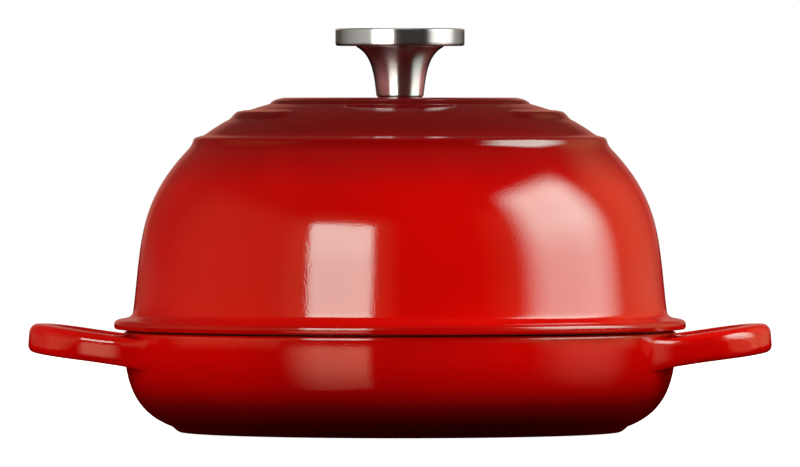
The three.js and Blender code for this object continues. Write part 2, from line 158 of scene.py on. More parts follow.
def skin(grid, ring=False, first_pole=None, last_pole=None):
    """Points, quads and triangles of a grid whose columns close round. A quad joins a point to the next
    column and the next row. With ring the last row joins the first. A pole closes an end with a fan."""
    rows, columns = grid.shape[:2]
    index = np.arange(rows * columns).reshape(rows, columns)
    here, there = (index, np.roll(index, -1, 0)) if ring else (index[:-1], index[1:])
    quads = np.stack([here, np.roll(here, -1, 1), np.roll(there, -1, 1), there], -1).reshape(-1, 4)
    points, fans = [grid.reshape(-1, 3)], [np.empty((0, 3), int)]
    if first_pole is not None:
        pole = np.full(columns, rows * columns)
        fans.append(np.stack([pole, np.roll(index[0], -1), index[0]], -1))
        points.append(np.reshape(first_pole, (1, 3)))
    if last_pole is not None:
        pole = np.full(columns, rows * columns + (first_pole is not None))
        fans.append(np.stack([index[-1], np.roll(index[-1], -1), pole], -1))
        points.append(np.reshape(last_pole, (1, 3)))
    return np.concatenate(points), quads, np.concatenate(fans)


def piece(name, *skins, **marks):
    """One smooth-shaded object at the origin from one or more skins. Each mark is a number per point,
    kept as a point attribute for the material to read."""
    starts = np.cumsum([0] + [len(points) for points, _, _ in skins])
    points = np.concatenate([points for points, _, _ in skins])
    quads = np.concatenate([quads + start for (_, quads, _), start in zip(skins, starts)])
    fans = np.concatenate([fan + start for (_, _, fan), start in zip(skins, starts)])
    mesh = bpy.data.meshes.new(name)
    mesh.from_pydata(points * MM, [], quads.tolist() + fans.tolist())
    mesh.polygons.foreach_set("use_smooth", np.ones(len(mesh.polygons), bool))
    for mark, values in marks.items():
        attribute = mesh.attributes.new(mark, "FLOAT", "POINT")
        attribute.data.foreach_set("value", np.asarray(values, np.float32))
    mesh.update()
    made = bpy.data.objects.new(name, mesh)
    bpy.context.scene.collection.objects.link(made)
    print(name, len(points), "points,", 2 * len(quads) + len(fans), "triangles")
    return made


def fill(line, sides, poles=0):
    """One value per profile row, repeated round the grid, with a zero for each pole."""
    return np.r_[np.repeat(line, sides), np.zeros(poles)]


print("mesh tools ready")

# %% [markdown]
# ## The lid
# The lid is one sand casting: a lip that drops inside the pan, a flange that covers the rim, a steep dome,
# a rounded step with a narrow ledge, a crown ring and a flat plateau for the knob. It could be sculpted or
# subdivided from a few rings, but one exact profile keeps the long soft highlights clean.

# %% Lid sizes, heights from the rim that the lid rests on
LID_BASE = 43.0
LIP_BORE, LIP_RADIUS, LIP_DEPTH, LIP_BEVEL = 111.1, 113.7, 4.0, 0.7
SEAT_RADIUS, SEAT_RISE, SEAM_RISE = 117.9, 0.6, 1.4
FLANGE_RADIUS, FLANGE_BOTTOM_ROUND = 123.5, 1.1
FLANGE_TOP_ROUND = (FLANGE_RADIUS, 3.5), (FLANGE_RADIUS, 5.5), (120.9, 5.8)
FLANGE_FILLET = (118.6, 6.25), (115.6, 6.8)
DOME_FOOT, SHOULDER = row((115.3, 9.1), (92.3, 78.2))
DOME_HEADING, DOME_PULL = 96.9, 29.9
SHOULDER_HEADING, SHOULDER_PULL = -47, 30.7
STEP_FACE = row((91.5, 79.0), (90.4, 80.4), (89.75, 81.6), (89.5, 82.4))
STEP_ROUND = (89.35, 83.0), (89.1, 84.2), (87.3, 84.45)
LEDGE = row((85.8, 84.85))
CROWN_FOOT, CROWN_TOP = row((84.4, 85.3), (57.0, 98.5))
CROWN_BULGE = 1.5
PLATEAU_HEIGHT, PLATEAU_FLAT = 101.4, 50.0
PLATEAU_ROUND = (56.2, 98.7), (55.2, 100.7), (PLATEAU_FLAT, PLATEAU_HEIGHT)
SCREW_HOLE = 3.4
LID_WALL, LID_TOP_WALL = 4.2, 5.5


def crown_circle():
    """Centre and radius of the circle through the crown's two ends that bulges outwards by its sagitta:
    radius = (half chord squared + sagitta squared) / (2 sagitta)."""
    chord = CROWN_TOP - CROWN_FOOT
    right = np.array([chord[1], -chord[0]]) / np.hypot(*chord)
    radius = (chord @ chord / 4 + CROWN_BULGE**2) / (2 * CROWN_BULGE)
    return (CROWN_FOOT + CROWN_TOP) / 2 + right * (CROWN_BULGE - radius), radius


def crown_height(radius):
    """Height of the crown's arc above the rim at a distance from the axis."""
    centre, size = crown_circle()
    return centre[1] + np.sqrt(np.maximum(size**2 - (radius - centre[0]) ** 2, 0))


def inward(line, distance):
    """The line moved to its left by a distance, at right angles to itself."""
    along = np.gradient(line, axis=0)
    along /= np.hypot(*along.T)[:, None]
    return line + distance * np.stack([-along[:, 1], along[:, 0]], -1)


print("crown at 70 mm stands", round(float(crown_height(70.0)), 2), "mm above the rim")

# %% Lid profile
dome_line = bezier(
    DOME_FOOT,
    away(DOME_FOOT, DOME_HEADING, DOME_PULL),
    away(SHOULDER, SHOULDER_HEADING, SHOULDER_PULL),
    SHOULDER,
    steps=80,
)
crown_radii = np.linspace(CROWN_FOOT[0], CROWN_TOP[0], 40)
crown_line = np.stack([crown_radii, crown_height(crown_radii)], -1)
lid_outside = np.vstack([
    row((LIP_BORE + LIP_BEVEL, -LIP_DEPTH), (LIP_RADIUS - LIP_BEVEL, -LIP_DEPTH)),
    row((LIP_RADIUS, LIP_BEVEL - LIP_DEPTH), (LIP_RADIUS, SEAT_RISE)),
    row((SEAT_RADIUS, SEAT_RISE), (SEAT_RADIUS, SEAM_RISE)),
    corner(
        (FLANGE_RADIUS - FLANGE_BOTTOM_ROUND, SEAM_RISE),
        (FLANGE_RADIUS, SEAM_RISE),
        (FLANGE_RADIUS, SEAM_RISE + FLANGE_BOTTOM_ROUND),
    ),
    corner(*FLANGE_TOP_ROUND),
    corner(*FLANGE_FILLET, DOME_FOOT),
    dome_line[1:],
    STEP_FACE,
    corner(*STEP_ROUND),
    LEDGE,
    crown_line,
    corner(*PLATEAU_ROUND),
    row((SCREW_HOLE, PLATEAU_HEIGHT)),
])
lid_inside = np.vstack([
    row((SCREW_HOLE, PLATEAU_HEIGHT - LID_TOP_WALL), (PLATEAU_FLAT, PLATEAU_HEIGHT - LID_TOP_WALL)),
    inward(crown_line, LID_WALL)[::-1],
    inward(dome_line, LID_WALL)[::-1],
])
print("lid profile:", len(lid_outside), "points outside,", len(lid_inside), "inside")

# %% [markdown]
# ## The raised bars
# Two arc-shaped bars stand on the crown, left and right. They were part of the casting pattern, so their
# edges run softly into the crown. Instead of separate meshes, the lid's own points rise there: inside the
# bar's outline, in plan, the crown is lifted to a nearly level top that fades out over a soft edge.

# %% Raised bars
BAR_MIDDLE, BAR_HALF_WIDTH, BAR_EDGE = 68.4, 5.5, 4.2
BAR_HALF_SPAN, BAR_END_STRETCH = np.radians(39.2), 0.45
BAR_TOP_RADIUS, BAR_TOP_HEIGHT, BAR_TOP_SLOPE = 64.5, 96.4, 0.175
OUTER_SKIN = 0.5


def smoothstep(value):
    """0 below 0, 1 above 1, and 3t^2 - 2t^3 between."""
    t = np.clip(value, 0, 1)
    return t * t * (3 - 2 * t)


def bar_top(radius):
    """Height of the bars' tops above the rim: a gentle cone."""
    return BAR_TOP_HEIGHT - BAR_TOP_SLOPE * (radius - BAR_TOP_RADIUS)


def lift_bars(grid, heights):
    """Lifts the crown inside two bars. A point's distance to the bar's middle arc is its radial distance,
    or past the arc's end its distance to the end point; a soft step in that distance scales the lift.
    Only points close to the crown's arc rise, so the inside of the lid stays as it is."""
    radius = np.hypot(grid[..., 0], grid[..., 1])
    angle = np.arctan2(np.abs(grid[..., 1]), np.abs(grid[..., 0]))
    past_end = np.maximum(angle - BAR_HALF_SPAN, 0) * radius * BAR_END_STRETCH
    distance = np.hypot(radius - BAR_MIDDLE, past_end)
    on_crown = np.abs(heights - crown_height(radius)) < OUTER_SKIN
    lift = np.maximum(bar_top(radius) - heights, 0) * smoothstep((BAR_HALF_WIDTH - distance) / BAR_EDGE)
    grid[..., 2] += np.where(on_crown, lift, 0)
    return grid


print("bars stand", round(float(bar_top(BAR_MIDDLE) - crown_height(BAR_MIDDLE)), 2), "mm above the crown")

# %% Lid mesh
LID_SIDES, LID_ROWS = 384, 250
ENAMEL_SOFTNESS, ENAMEL_BEND = 0.35, 14
BAR_ROWS_REACH, BAR_ROWS_EXTRA = 8.0, 5.0
lid_line = soften(np.vstack([lid_outside, lid_inside]), ENAMEL_SOFTNESS, closed=True)
outside = lid_line[:, 1] > crown_height(lid_line[:, 0]) - 1
near_bars = outside & (np.abs(lid_line[:, 0] - BAR_MIDDLE) < BAR_ROWS_REACH)
lid_rows = crowd(lid_line, LID_ROWS, ENAMEL_BEND, extra=BAR_ROWS_EXTRA * near_bars)
lid_grid = turned(lid_rows, LID_SIDES)
lid_grid = lift_bars(lid_grid, np.broadcast_to(lid_rows[:, 1:], lid_grid.shape[:2]))
lid_grid[..., 2] += LID_BASE

# The black lining runs from the screw hole, over the inside, to the flange's lower edge.
GLAZE_BORDER = 2.0
LINING_INSET, LINING_HEIGHT, LINING_HOLE = 1.3, 1.8, 4.2
lid_walk = walk(lid_rows)
is_flange = (lid_rows[:, 0] > FLANGE_RADIUS - LINING_INSET) & (lid_rows[:, 1] < LINING_HEIGHT)
is_hole = (lid_rows[:, 0] < LINING_HOLE) & (lid_rows[:, 1] > PLATEAU_HEIGHT - 1)
flange_edge, hole_edge = lid_walk[is_flange].min(), lid_walk[is_hole].min()
lid_lining = np.clip(
    np.maximum(flange_edge - lid_walk, lid_walk - hole_edge) / GLAZE_BORDER + 0.5, 0, 1
)
lid_casting = piece("lid_casting", skin(lid_grid, ring=True), lining=fill(lid_lining, LID_SIDES))

# %% [markdown]
# ## The pan
# The pan is a second casting: a flat foot, a shallow bowl whose wall ends upright in a rounded rim, and
# three low rings on its floor. It is turned like the lid, from the pole under the foot, over the rim, to
# the pole in the middle of the floor.

# %% Pan profile
PAN_RADIUS, CAVITY_RADIUS, RIM_HEIGHT, RIM_ROUND, RIM_BEVEL = 119.2, 114.6, 43.6, 1.1, 0.5
FOOT_RADIUS, FOOT_BEVEL, BOWL_FOOT, PAN_FLOOR, POLE_GAP = 95.2, (96.8, 0.9), (98.4, 2.4), 5.2, 0.5
WALL_TOP, BOWL_LEAN, BOWL_PULL, WALL_PULL = 39.4, 20, 15, 21
RIDGE_HEIGHT, RIDGE_WIDTH, RIDGE_BEVEL = 1.6, 6.0, 1.4
RIDGE_RADII = (72.0, 48.0, 24.0)


def bowl(start, end):
    """The bowl's wall: a cubic that leaves the foot at a flat lean and ends upright."""
    return bezier(start, away(start, BOWL_LEAN, BOWL_PULL), away(end, -90, WALL_PULL), end, steps=80)


ridge_shape = row(
    (RIDGE_WIDTH / 2, 0),
    (RIDGE_WIDTH / 2 - RIDGE_BEVEL, RIDGE_HEIGHT),
    (RIDGE_BEVEL - RIDGE_WIDTH / 2, RIDGE_HEIGHT),
    (-RIDGE_WIDTH / 2, 0),
)
pan_profile = np.vstack([
    row((POLE_GAP, 0), (FOOT_RADIUS, 0), FOOT_BEVEL),
    bowl(BOWL_FOOT, (PAN_RADIUS, WALL_TOP)),
    corner(
        (PAN_RADIUS, RIM_HEIGHT - RIM_ROUND), (PAN_RADIUS, RIM_HEIGHT), (PAN_RADIUS - RIM_ROUND, RIM_HEIGHT)
    ),
    row((CAVITY_RADIUS + RIM_BEVEL, RIM_HEIGHT), (CAVITY_RADIUS, RIM_HEIGHT - RIM_BEVEL)),
    bowl((FOOT_RADIUS, PAN_FLOOR), (CAVITY_RADIUS, WALL_TOP))[::-1],
    *(ridge_shape + row((radius, PAN_FLOOR)) for radius in RIDGE_RADII),
    row((POLE_GAP, PAN_FLOOR)),
])
PAN_SIDES, PAN_ROWS = 384, 190
pan_line = soften(pan_profile, ENAMEL_SOFTNESS)
pan_rows = crowd(pan_line, PAN_ROWS, ENAMEL_BEND)
pan_skin = skin(turned(pan_rows, PAN_SIDES), first_pole=(0, 0, 0), last_pole=(0, 0, PAN_FLOOR))
print("pan profile", len(pan_rows), "rows")

# %% [markdown]
# ## The loop handles
# Each handle is a rounded grip bent into a loop, cast in one with the pan. The loop is easy: a rounded
# rectangle carried along half an ellipse. The roots are what give it away as a casting, because they
# spread out and flow into the wall. Each root is a set of cubic curves, one for every point of the grip's
# outline: it leaves along the grip, and lands flat on the wall on a wider rounded rectangle.

# %% Handle sizes
HANDLE_SPAN, LOOP_DEPTH, HANDLE_REACH = 78.0, 31.0, 160.3
GRIP_WIDTH, GRIP_THICKNESS, GRIP_CORNERS, GRIP_BULGE = 12.0, 12.6, (3.4, 3.5), 0.35
ARM_DRAFT, TIP_DRAFT, TIP_BULGE = np.radians(2.5), np.radians(-4.5), 0.1
TIP_START, TIP_BLEND, TIP_DROP, RISE = 0.15, 0.55, 2.5, np.radians(8)
LOOP_CENTRE = HANDLE_REACH - LOOP_DEPTH
TIP_MIDDLE = HANDLE_REACH - GRIP_WIDTH / 2
LOOP_END = np.radians(84)
LANDING_ANGLE, LANDING_WIDTH, LANDING_HEIGHT = np.radians(-18.0), 38.0, 15.4
LANDING_CORNERS, LANDING_SINK, ROOT_FILLET = (6.0, 2.4), 0.01, 5.0
LEAVE_PULL, LAND_PULL = 1.35, 0.9
SKIRT = ((0.8, 0.04), (1.2, 1.0))


def outline(width, height, corners, flats=6, rounds=10):
    """A rounded rectangle: its straight sides slide between the corner centres while the heading stays,
    and the heading turns a quarter at each corner. The corners have one size below and another above.
    Returns across, up and the heading of each point."""
    slide = np.linspace(-1, 1, flats, endpoint=False)
    turn = np.linspace(0, np.pi / 2, rounds, endpoint=False)
    one, still = np.ones(rounds), np.zeros(flats)
    across = np.r_[np.ones(flats), one, -slide, -one, -np.ones(flats), -one, slide, one]
    up = np.r_[slide, one, np.ones(flats), one, -slide, -one, -np.ones(flats), -one]
    heading = np.concatenate([np.r_[still, turn] + quarter * np.pi / 2 for quarter in range(4)])
    size = np.where(up < 0, *corners)
    return (
        across * (width / 2 - size) + size * np.cos(heading),
        up * (height / 2 - size) + size * np.sin(heading),
        heading,
    )


def grip_rings(position, along, height, tip):
    """The grip's outline set upright across the path at each station. Its sides bulge by a parabola of
    their height, and they lean by a draft: across grows with height times its tangent. Tip is 0 for a
    station on an arm and 1 at the tip, and both amounts are mixed by it."""
    across, up, heading = outline(GRIP_WIDTH, GRIP_THICKNESS, GRIP_CORNERS)
    bulge, draft = (
        (arm + (end - arm) * tip)[:, None] for arm, end in ((GRIP_BULGE, TIP_BULGE), (ARM_DRAFT, TIP_DRAFT))
    )
    across = across + bulge * np.cos(heading) * (1 - (2 * up / GRIP_THICKNESS) ** 2)
    across = across * (1 + up * np.tan(draft) / (GRIP_WIDTH / 2))
    return np.stack(
        [
            position[:, :1] + across * along[:, 1:],
            position[:, 1:] - across * along[:, :1],
            height[:, None] + np.broadcast_to(up, (len(height), len(up))),
        ],
        -1,
    )


def loop_height(x):
    """Height of the grip's middle: it falls inwards from the tip at the angle of the loop."""
    return LID_BASE - TIP_DROP - (TIP_MIDDLE - x) * np.tan(RISE)


print("loop runs from x", LOOP_CENTRE, "to", HANDLE_REACH)

# %% Handle surface
LOOP_ROWS, ROOT_ROWS = 73, 27
WALL_STEP = 2.0


def loop_grid():
    """Almost half an ellipse in plan: x = centre + depth cos a, y = half span sin a, with the grip set
    across it. It stops while its arms still spread, so that they run on into the roots. The pattern drew
    upwards out of the arms and downwards out of the tip, so the draft changes sign between them."""
    a = np.linspace(-LOOP_END, LOOP_END, LOOP_ROWS)
    depth, half = LOOP_DEPTH - GRIP_WIDTH / 2, (HANDLE_SPAN - GRIP_WIDTH) / 2
    position = np.stack([LOOP_CENTRE + depth * np.cos(a), half * np.sin(a)], -1)
    along = np.stack([-depth * np.sin(a), half * np.cos(a)], -1)
    along /= np.hypot(*along.T)[:, None]
    tip = smoothstep((np.cos(a) - TIP_START) / TIP_BLEND)
    return grip_rings(position, along, loop_height(position[:, 0]), tip), along[0]


def landing(grow=0.0, depth=LANDING_SINK):
    """A ring of points a small depth under the pan's wall, and how it spreads there, sideways and upright,
    both flat on the wall. The outline's across is an arc length round the wall, and its up is counted from
    the plane of the loop. The wall's radius at a height comes from the pan's profile."""
    across, up, heading = outline(LANDING_WIDTH, LANDING_HEIGHT, LANDING_CORNERS)
    angle = LANDING_ANGLE - (across + grow * np.cos(heading)) / PAN_RADIUS
    height = loop_height(PAN_RADIUS * np.cos(angle)) + up + grow * np.sin(heading)
    wall = pan_line[: np.argmax(pan_line[:, 1])]
    below, here, above = (
        np.interp(height + step, wall[:, 1], wall[:, 0]) for step in (-WALL_STEP, 0, WALL_STEP)
    )
    lean = (above - below) / (2 * WALL_STEP)
    points = np.stack([(here - depth) * np.cos(angle), (here - depth) * np.sin(angle), height], -1)
    sideways = np.stack([np.sin(angle), -np.cos(angle), np.zeros_like(angle)], -1)
    upright = np.stack([lean * np.cos(angle), lean * np.sin(angle), np.ones_like(angle)], -1)
    share = across / (LANDING_WIDTH / 2)
    return points, share[:, None] * sideways, np.sin(heading)[:, None] * upright


def root_grid(grip_end, along):
    """Hermite curves from the grip's end ring to the landing: they start along the grip and end flat on the
    wall. The pull at the wall is long at the sides, for wide fillets, and short above and below. A skirt
    runs on inside the wall, so that the shading stays smooth up to the landing."""
    points, sideways, upright = landing()
    chord = np.linalg.norm(points - grip_end, axis=1)[:, None]
    leave = -np.array([*along, along[0] * np.tan(RISE)]) * chord * LEAVE_PULL
    arrive = sideways * chord * LAND_PULL + upright * ROOT_FILLET
    t = np.linspace(0, 1, ROOT_ROWS)[:, None, None]
    curves = (
        (2 * t**3 - 3 * t**2 + 1) * grip_end
        + (t**3 - 2 * t**2 + t) * leave
        + (3 * t**2 - 2 * t**3) * points
        + (t**3 - t**2) * arrive
    )
    return np.concatenate([curves, [landing(grow, depth)[0] for grow, depth in SKIRT]])


def handle_skin(side):
    """Root, loop and mirrored root in one grid, closed by a pole inside the wall at each end. The columns
    run backwards so that faces point outwards, and side -1 turns the handle half round the axis."""
    loop, along = loop_grid()
    root = root_grid(loop[0], along)
    mirrored = root * np.array([1, -1, 1])
    grid = np.concatenate([root[:0:-1], loop, mirrored[1:]])[:, ::-1]
    inside = grid[0].mean(0) * np.array([0.99, 0.99, 1])
    turn = np.array([side, side, 1])
    return skin(grid * turn, first_pole=inside * turn, last_pole=inside * turn * np.array([1, -1, 1]))


right_handle, left_handle = handle_skin(1), handle_skin(-1)
print("handle:", len(right_handle[0]), "points")

# %% Pan mesh
LINING_RIM = 117.6
rim_top = np.argmax(pan_rows[:, 1])
pan_walk = walk(pan_rows)
rim_edge = pan_walk[(np.arange(PAN_ROWS) >= rim_top) & (pan_rows[:, 0] < LINING_RIM)].min()
pan_lining = fill(np.clip((pan_walk - rim_edge) / GLAZE_BORDER + 0.5, 0, 1), PAN_SIDES, poles=2)
pan_lining[-1] = 1
handle_lining = np.zeros(len(right_handle[0]) + len(left_handle[0]))
pan_casting = piece(
    "pan_casting", pan_skin, right_handle, left_handle, lining=np.r_[pan_lining, handle_lining]
)

# %% [markdown]
# ## The knob
# The knob is turned from stainless steel in two pieces: a thick disc cap with a spigot, and a trumpet
# stem that it is pressed into. Polishing leaves edges of a few tenths of a millimetre, so the same bell
# curve softens their profiles, with a smaller radius.

# %% Knob meshes
KNOB_BASE = LID_BASE + PLATEAU_HEIGHT
STEM_HEIGHT, STEM_FOOT, STEM_FLARE = 22.3, 10.2, 19.0
FOOT_EDGE, FOOT_HEADING, FOOT_PULL = 0.8, 83.1, 7.9
FLARE_EDGE, FLARE_HEADING, FLARE_PULL = 0.35, 205.5, 8.0
CAP_RADIUS, CAP_THICKNESS, CAP_ROUND, CAP_BEVEL = 27.9, 7.6, 1.2, 0.5
SPIGOT_RADIUS, SPIGOT_BOTTOM, KNOB_POLE_GAP = 7.5, 16.7, 0.3
SOCKET_RADIUS, INSERT_BORE, INSERT_LENGTH, STEM_WEB = 7.65, 5.65, 13.1, 3.0
KNOB_SIDES = 192
STEEL_SOFTNESS, STEEL_SPACING, STEEL_BEND = 0.12, 0.04, 3

stem_foot, stem_flare = row((STEM_FOOT, FOOT_EDGE), (STEM_FLARE, STEM_HEIGHT - FLARE_EDGE))
foot_pull, flare_pull = away(stem_foot, FOOT_HEADING, FOOT_PULL), away(stem_flare, FLARE_HEADING, FLARE_PULL)
stem_profile = np.vstack([
    row((INSERT_BORE, 0), (STEM_FOOT - FOOT_EDGE, 0)),
    bezier(stem_foot, foot_pull, flare_pull, stem_flare),
    row((STEM_FLARE - FLARE_EDGE, STEM_HEIGHT), (SOCKET_RADIUS, STEM_HEIGHT)),
    row((SOCKET_RADIUS, INSERT_LENGTH + STEM_WEB), (SCREW_HOLE, INSERT_LENGTH + STEM_WEB)),
    row((SCREW_HOLE, INSERT_LENGTH), (INSERT_BORE, INSERT_LENGTH)),
])
cap_top = STEM_HEIGHT + CAP_THICKNESS
cap_profile = np.vstack([
    row((KNOB_POLE_GAP, SPIGOT_BOTTOM), (SPIGOT_RADIUS, SPIGOT_BOTTOM), (SPIGOT_RADIUS, STEM_HEIGHT)),
    corner(
        (CAP_RADIUS - CAP_ROUND, STEM_HEIGHT),
        (CAP_RADIUS, STEM_HEIGHT),
        (CAP_RADIUS, STEM_HEIGHT + CAP_ROUND),
    ),
    row((CAP_RADIUS, cap_top - CAP_BEVEL), (CAP_RADIUS - CAP_BEVEL, cap_top), (KNOB_POLE_GAP, cap_top)),
])
knob_place = np.array([0, KNOB_BASE])
stem_line = soften(stem_profile, STEEL_SOFTNESS, closed=True, spacing=STEEL_SPACING)
cap_line = soften(cap_profile, STEEL_SOFTNESS, spacing=STEEL_SPACING)
stem_rows = crowd(stem_line, 120, STEEL_BEND) + knob_place
cap_rows = crowd(cap_line, 90, STEEL_BEND) + knob_place
knob_stem = piece("knob_trumpet", skin(turned(stem_rows, KNOB_SIDES), ring=True))
knob_cap = piece(
    "knob_disc",
    skin(
        turned(cap_rows, KNOB_SIDES),
        first_pole=(0, 0, KNOB_BASE + SPIGOT_BOTTOM),
        last_pole=(0, 0, KNOB_BASE + cap_top),
    ),
)

# %% [markdown]
# ## The screw and its washers
# They show only when the lid is lifted: a pan-head screw with a cross recess, a split spring washer and a
# flat washer against the black lining. The recess needs no cutting: seen from the middle, the cross's edge
# lies at one distance in each direction, so a ring of the screw's own grid follows it and drops to its
# floor.

# %% Screw
SCREW_RADIUS, SCREW_REACH, SCREW_POINT, SCREW_EDGE = 2.9, 9.0, 0.6, 0.1
HEAD_RADIUS, HEAD_HEIGHT, HEAD_ROUND = 5.8, 3.4, 1.6
RECESS_LENGTH, RECESS_WIDTH, RECESS_DEPTH, RECESS_TAPER = 6.0, 1.2, 1.8, 0.85
FLAT_WASHER_THICKNESS, SPRING_WASHER_THICKNESS = 1.2, 1.6
SCREW_SIDES = 160
washer_top = -LID_TOP_WALL
spring_top = washer_top - FLAT_WASHER_THICKNESS
head_seat = spring_top - SPRING_WASHER_THICKNESS
head_bottom = head_seat - HEAD_HEIGHT


def cross_edge(angle):
    """Distance from the middle to the edge of a cross: the farther of its two slots, each of which ends at
    its half length / cosine or its half width / sine, whichever comes first."""
    flat, steep = np.abs(np.cos(angle)) + 1e-9, np.abs(np.sin(angle)) + 1e-9
    one = np.minimum(RECESS_LENGTH / 2 / flat, RECESS_WIDTH / 2 / steep)
    other = np.minimum(RECESS_LENGTH / 2 / steep, RECESS_WIDTH / 2 / flat)
    return np.maximum(one, other)


screw_angle = np.linspace(0, 2 * np.pi, SCREW_SIDES, endpoint=False)
edge = cross_edge(screw_angle)
recess_floor = head_bottom + RECESS_DEPTH
recess = np.stack([
    np.stack([size * np.cos(screw_angle), size * np.sin(screw_angle), np.full(SCREW_SIDES, height)], -1)
    for size, height in (
        (edge * RECESS_TAPER * 0.5, recess_floor),
        (edge * RECESS_TAPER, recess_floor),
        (edge * (RECESS_TAPER + 0.1), recess_floor - 0.3),
        (edge * 0.98, head_bottom + 0.1),
        (edge + 0.12, head_bottom),
    )
])
screw_profile = np.vstack([
    corner(
        (HEAD_RADIUS - HEAD_ROUND, head_bottom),
        (HEAD_RADIUS, head_bottom),
        (HEAD_RADIUS, head_bottom + HEAD_ROUND),
    ),
    row((HEAD_RADIUS, head_seat - SCREW_EDGE), (HEAD_RADIUS - SCREW_EDGE, head_seat)),
    row((SCREW_RADIUS + SCREW_EDGE, head_seat), (SCREW_RADIUS, head_seat + SCREW_EDGE)),
    row((SCREW_RADIUS, SCREW_REACH - SCREW_POINT), (SCREW_RADIUS - SCREW_POINT, SCREW_REACH)),
])
screw_grid = np.concatenate([recess, turned(screw_profile, SCREW_SIDES)]) + np.array([0, 0, KNOB_BASE])
screw = piece(
    "lid_screw",
    skin(
        screw_grid,
        first_pole=(0, 0, KNOB_BASE + recess_floor),
        last_pole=(0, 0, KNOB_BASE + SCREW_REACH),
    ),
)

# %% Washers
WASHER_BORE, FLAT_WASHER_RADIUS, SPRING_WASHER_WIDTH, SPRING_SPLIT = 3.2, 9.0, 2.2, 1.2
WASHER_SIDES, WASHER_ROWS, WASHER_SOFTNESS = 128, 48, 0.08


def washer_rows(inner, outer, bottom, top):
    """A ring's cross-section: four corners, counter-clockwise, softened and set at the knob's height."""
    corners = row((inner, bottom), (outer, bottom), (outer, top), (inner, top))
    line = soften(corners, WASHER_SOFTNESS, closed=True, spacing=0.03)
    return crowd(line, WASHER_ROWS, bend=1.0) + knob_place


flat_rows = washer_rows(WASHER_BORE, FLAT_WASHER_RADIUS, spring_top, washer_top)
flat_washer = piece("plain_washer", skin(turned(flat_rows, WASHER_SIDES), ring=True))

spring_outer = WASHER_BORE + SPRING_WASHER_WIDTH
spring_rows = washer_rows(WASHER_BORE, spring_outer, head_seat, spring_top)
half_split = SPRING_SPLIT / (WASHER_BORE + spring_outer)
spring_turn = np.linspace(half_split, 2 * np.pi - half_split, WASHER_SIDES)[:, None]
spring_grid = np.stack(
    [
        spring_rows[:, 0] * np.cos(spring_turn),
        spring_rows[:, 0] * np.sin(spring_turn),
        np.broadcast_to(spring_rows[:, 1], (WASHER_SIDES, WASHER_ROWS)),
    ],
    -1,
)
spring_washer = piece(
    "split_washer",
    skin(spring_grid[:, ::-1], first_pole=spring_grid[0].mean(0), last_pole=spring_grid[-1].mean(0)),
)

# %% [markdown]
# ## Colour and node tools
# Colours are written as sRGB hex values, as one would pick them from a picture, and one function turns
# them into the linear numbers that a shader needs. One helper adds a node, sets it and links it.

# %% Colour and node tools
def linear(hex_colour):
    """sRGB hex to linear: each channel c becomes c/12.92 below 0.04045 and ((c+0.055)/1.055)^2.4 above."""
    channels = np.array([int(hex_colour[k : k + 2], 16) for k in (1, 3, 5)]) / 255
    low, high = channels / 12.92, ((channels + 0.055) / 1.055) ** 2.4
    return (*np.where(channels <= 0.04045, low, high), 1.0)


def add(tree, kind, sockets=None, **settings):
    """Adds one node with its settings. A socket given another node's output is linked to it, and any other
    value is set on the socket itself."""
    node = tree.nodes.new(kind)
    for setting, value in settings.items():
        setattr(node, setting, value)
    for socket, value in (sockets or {}).items():
        if isinstance(value, bpy.types.NodeSocket):
            tree.links.new(value, node.inputs[socket])
        else:
            node.inputs[socket].default_value = value
    return node


def blank_material(name):
    """A material with an empty node tree, and its Object coordinates."""
    material = bpy.data.materials.new(name)
    material.use_nodes = True
    material.node_tree.nodes.clear()
    return material, material.node_tree, add(material.node_tree, "ShaderNodeTexCoord").outputs["Object"]


def per_metre(millimetres):
    """The noise scale whose features are about that many millimetres apart."""
    return 1000.0 / millimetres


print("white is", linear("#ffffff"))

# %% [markdown]
# ## Vitreous enamel
# Enamel is coloured glass, sprayed on the iron as a slurry and fused in a furnace. The red turns maroon
# towards the crown and the foot. That is partly the enamel's own grading and partly painted shade: the
# colour stops also darken the pan's underside, the crown and the plateau round the knob, where shade falls.
# It could be painted on an image, but a ramp over the height needs none and has no seam.

# %% Shaded red
COLOUR_TOP, PATCH_WIDTH = 150.0, 55.0


def shaded_red(tree, place, stops):
    """The red glass: a colour for each height between the stops, times a factor near 1 that follows noise.
    The slurry never lies quite evenly, and its broad thin patches are a little darker."""
    height = add(tree, "ShaderNodeSeparateXYZ", {"Vector": place}).outputs["Z"]
    share = add(tree, "ShaderNodeMapRange", {"Value": height, "From Max": COLOUR_TOP * MM}).outputs["Result"]
    ramp = add(tree, "ShaderNodeValToRGB", {"Fac": share})
    spots = ramp.color_ramp.elements
    spots.remove(spots[1])
    for number, (at, colour) in enumerate(stops):
        spot = spots[0] if number == 0 else spots.new(at / COLOUR_TOP)
        spot.position = at / COLOUR_TOP
        spot.color = linear(colour)
    patches = add(
        tree, "ShaderNodeTexNoise", {"Vector": place, "Scale": per_metre(PATCH_WIDTH), "Detail": 3.0}
    )
    thin = add(
        tree, "ShaderNodeMapRange",
        {
            "Value": patches.outputs["Fac"],
            "From Min": 0.35,
            "From Max": 0.65,
            "To Min": 0.93,
            "To Max": 1.04,
        },
    )
    red = add(
        tree, "ShaderNodeMix", {0: 1.0, 6: ramp.outputs["Color"], 7: thin.outputs["Result"]},
        data_type="RGBA", blend_type="MULTIPLY",
    )
    return red.outputs[2]


print("red glass is shaded up to", COLOUR_TOP, "mm")

# %% [markdown]
# ## The black lining
# Inside, and where lid and pan touch, the lining is a satin black enamel with a fine grit. The meshes say
# where it is by a number at each point. Noise added to that number makes the border wander by about a
# millimetre, as it does where one sprayed enamel meets another.

# %% Lining
WANDER_WIDTH, SPECKLE_WIDTH = 2.5, 1.2


